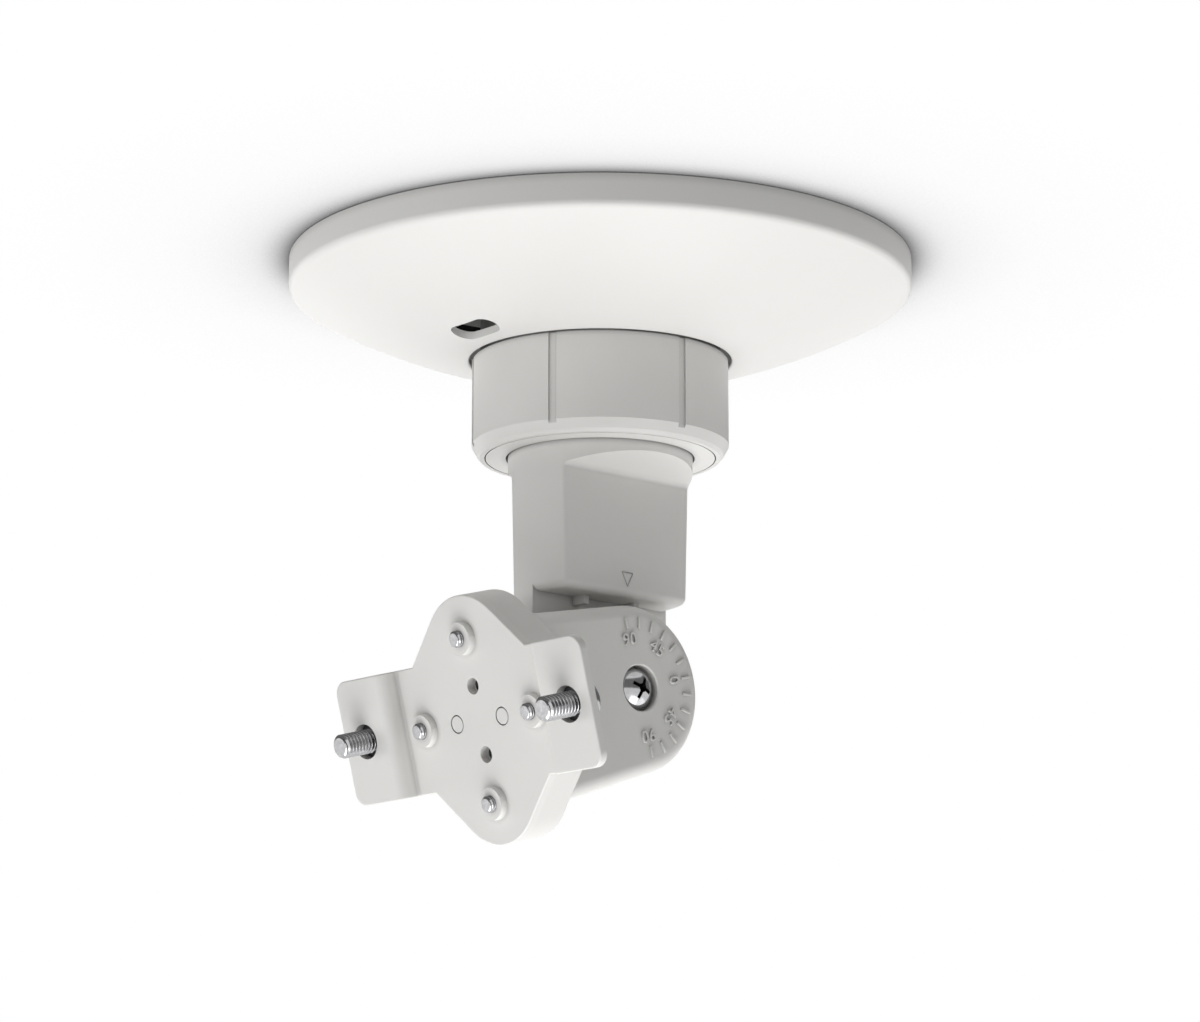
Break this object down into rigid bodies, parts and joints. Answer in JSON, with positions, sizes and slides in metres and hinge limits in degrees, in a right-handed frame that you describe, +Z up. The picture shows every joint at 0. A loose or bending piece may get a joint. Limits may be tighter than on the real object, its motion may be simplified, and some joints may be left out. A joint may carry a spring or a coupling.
{
  "type": "speaker ceiling mount",
  "caption": "White ceiling bracket for a small speaker: a round canopy and lock ring carry a panning neck and a tilting arm with an eared speaker plate.",
  "frame": {"origin": "where the pan axis meets the ceiling, on the ceiling plate's upper face", "axes": "+Z up into the ceiling, +X along the tilt axis to the side with the tilt scale, the arm points to -Y"},
  "size_m": [0.156, 0.156, 0.149],
  "materials": {
    "canopy_white": "moulded white, fine satin grain",
    "zinc_plate": "zinc plated",
    "bare_casting": "bare die casting",
    "zinc_screw": "zinc plated",
    "bush_white": "moulded white",
    "fibre": "dark friction fibre",
    "white_coat": "white satin coat",
    "white_sheet": "white satin coat on sheet steel"
  },
  "bodies": {
    "ceiling_base": {"ceiling_plate": "zinc_plate", "socket": "bare_casting", "socket_screws": "zinc_screw", "clamp_bush": "bush_white", "pan_washer": "fibre"},
    "canopy_cover": {"canopy": "canopy_white"},
    "collar": {"lock_ring": "white_coat"},
    "pan_neck": {"neck": "white_coat", "pivot_nut": "zinc_screw", "nut_washer": "zinc_screw", "tilt_washer": "fibre", "pivot_screw": "zinc_screw"},
    "tilt_head": {"tilt_arm": "white_coat", "speaker_plate": "white_sheet", "plate_screws": "zinc_screw", "spring_washers": "zinc_screw", "speaker_bolts": "zinc_screw"}
  },
  "joints": [
    {"name": "canopy_slide", "type": "slide", "parent": "ceiling_base", "child": "canopy_cover", "axis": [0, 0, 1], "range_m": [-0.035, 0]},
    {"name": "collar_turn", "type": "hinge", "parent": "ceiling_base", "child": "collar", "pos_m": [0, 0, -0.037], "axis": [0, 0, 1], "range_deg": [-180, 0]},
    {"name": "pan_turn", "type": "hinge", "parent": "ceiling_base", "child": "pan_neck", "pos_m": [0, 0, -0.037], "axis": [0, 0, 1], "range_deg": [-180, 180]},
    {"name": "tilt_turn", "type": "hinge", "parent": "pan_neck", "child": "tilt_head", "pos_m": [0, 0, -0.1095], "axis": [1, 0, 0], "range_deg": [-15, 165]}
  ]
}
